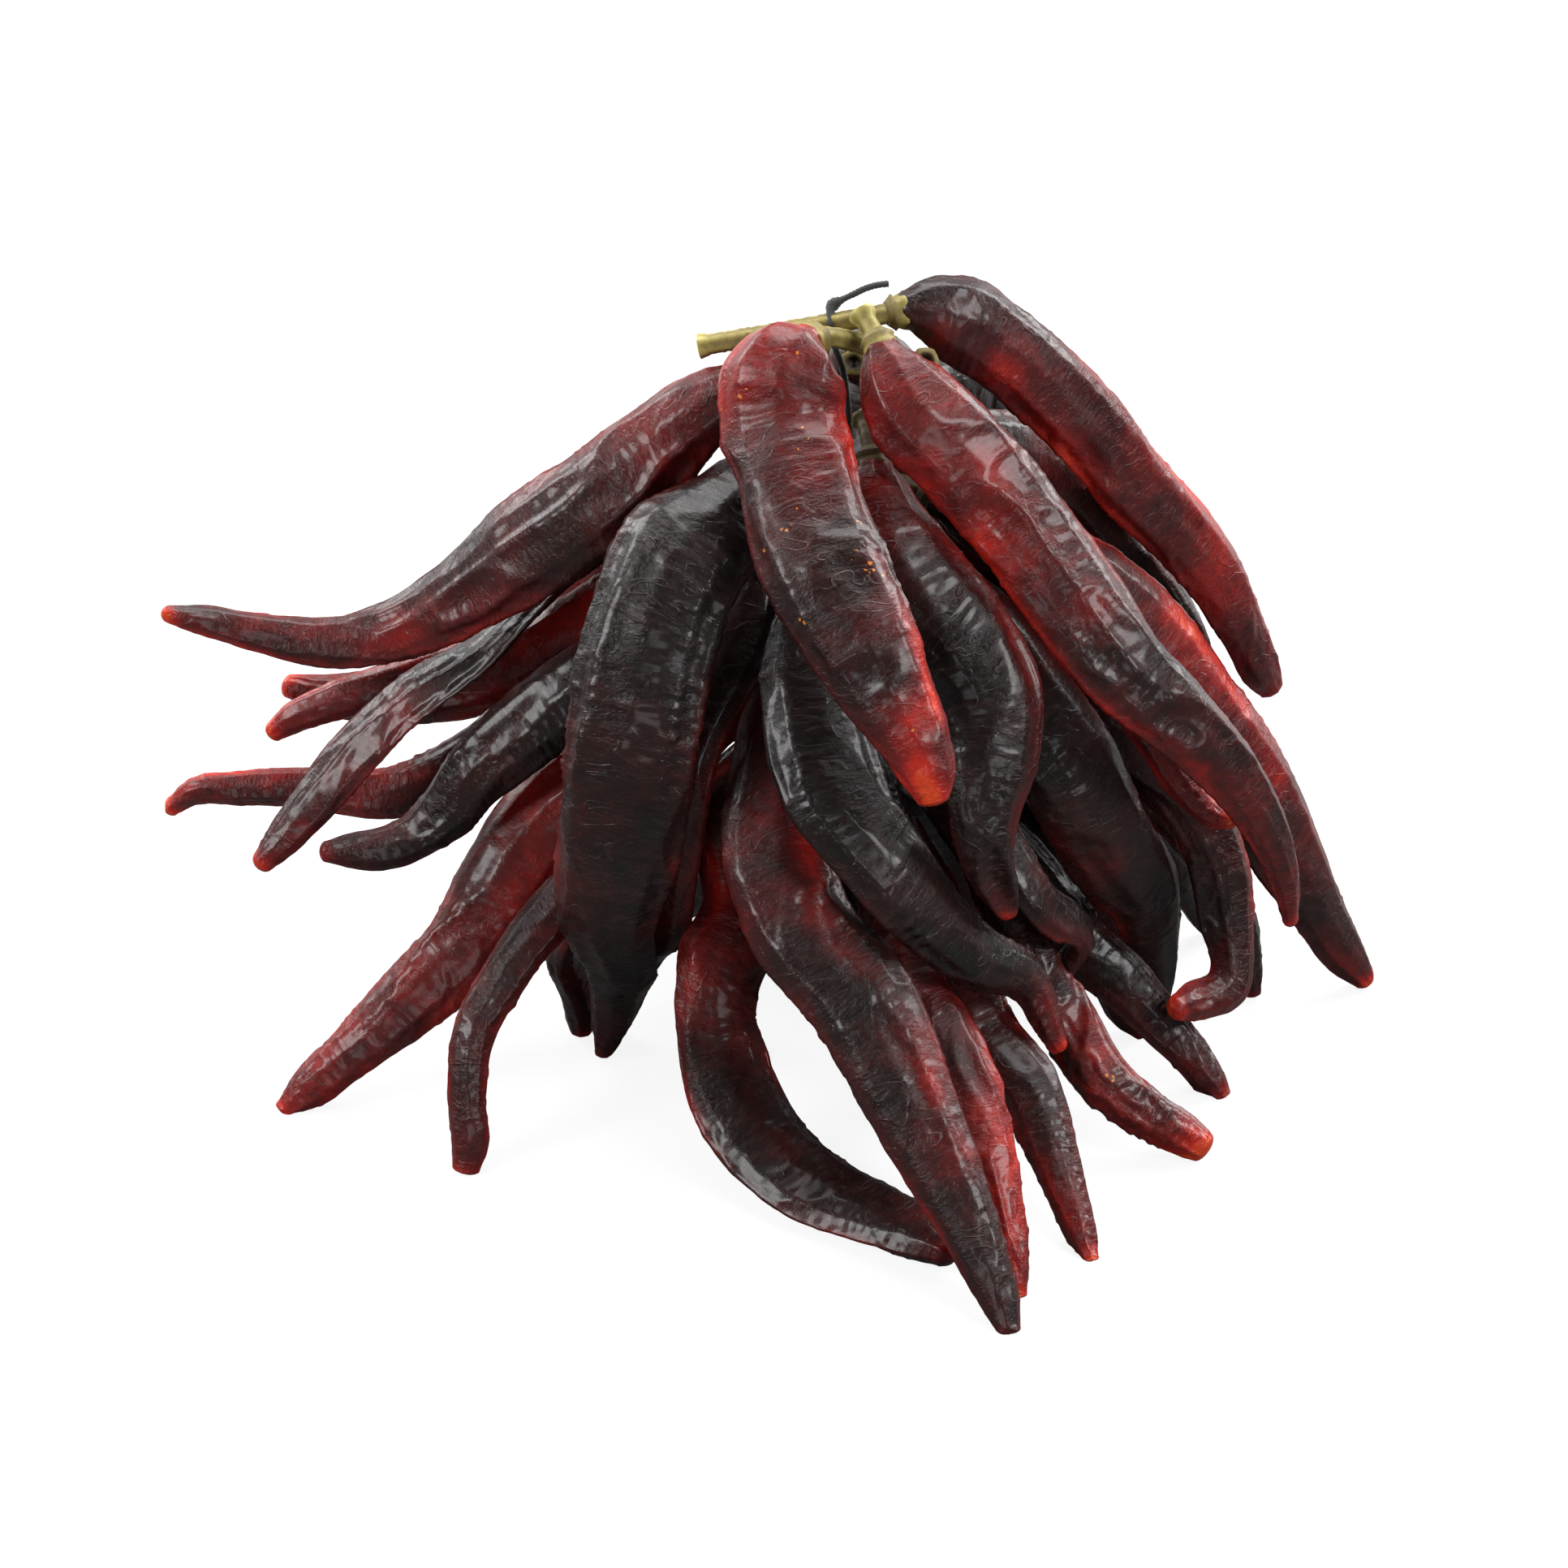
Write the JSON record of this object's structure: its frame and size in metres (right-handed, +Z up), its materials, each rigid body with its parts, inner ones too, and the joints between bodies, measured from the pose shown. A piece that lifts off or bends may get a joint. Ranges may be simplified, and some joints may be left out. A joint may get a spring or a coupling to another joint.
{
  "type": "string of dried chillies",
  "caption": "Bunch of long dried red chillies tied by their stems to a black thread, fanned out like a tent and standing on its lowest tips.",
  "frame": {"origin": "middle of the underside of the bunch's box, on the surface it stands on", "axes": "+Z up along the thread, +X towards the bunch's widest side, -Y towards the side seen in the picture"},
  "size_m": [0.273, 0.2394, 0.1731],
  "materials": {
    "chilli_skin": "wrinkled, half glossy, near-black maroon with red edges and tips",
    "chilli_stem": "dry, matt, straw yellow",
    "black_thread": "twisted, matt"
  },
  "bodies": {
    "root": {"chilli_top_left": "chilli_skin", "chilli_top_front": "chilli_skin", "chilli_top_right_front": "chilli_skin", "chilli_top_right": "chilli_skin", "chilli_top_right_back": "chilli_skin", "chilli_left_upper_back": "chilli_skin", "chilli_left_upper": "chilli_skin", "chilli_left_folded": "chilli_skin", "chilli_left_middle": "chilli_skin", "chilli_left_front_middle": "chilli_skin", "chilli_left_low": "chilli_skin", "chilli_left_low_front": "chilli_skin", "chilli_front_left_broad": "chilli_skin", "chilli_front_left_low": "chilli_skin", "chilli_front_left_inner": "chilli_skin", "chilli_front_ribbon": "chilli_skin", "chilli_front_long": "chilli_skin", "chilli_front_low": "chilli_skin", "chilli_front_dark": "chilli_skin", "chilli_front_short": "chilli_skin", "chilli_front_right_inner": "chilli_skin", "chilli_front_right_low": "chilli_skin", "chilli_front_right_withered": "chilli_skin", "chilli_right_front": "chilli_skin", "chilli_right_hooked": "chilli_skin", "chilli_right_small": "chilli_skin", "chilli_right_outer": "chilli_skin", "chilli_right_low_back": "chilli_skin", "chilli_right_low_inner": "chilli_skin", "chilli_right_low": "chilli_skin", "chilli_right_back": "chilli_skin", "chilli_back_top": "chilli_skin", "chilli_back_top_left": "chilli_skin", "chilli_back_upper_right": "chilli_skin", "chilli_back_upper": "chilli_skin", "chilli_back_upper_left": "chilli_skin", "chilli_back_middle_right": "chilli_skin", "chilli_back_middle": "chilli_skin", "chilli_back_middle_left": "chilli_skin", "chilli_back_low_right": "chilli_skin", "chilli_back_low_inner": "chilli_skin", "chilli_back_low_middle": "chilli_skin", "chilli_back_low": "chilli_skin", "chilli_back_low_left": "chilli_skin", "chilli_inner_front": "chilli_skin", "chilli_inner_front_right": "chilli_skin", "chilli_inner_right": "chilli_skin", "chilli_inner_back": "chilli_skin", "chilli_inner_back_left": "chilli_skin", "chilli_inner_left": "chilli_skin", "chilli_inner_right_back": "chilli_skin", "thread": "black_thread"}
  },
  "joints": []
}
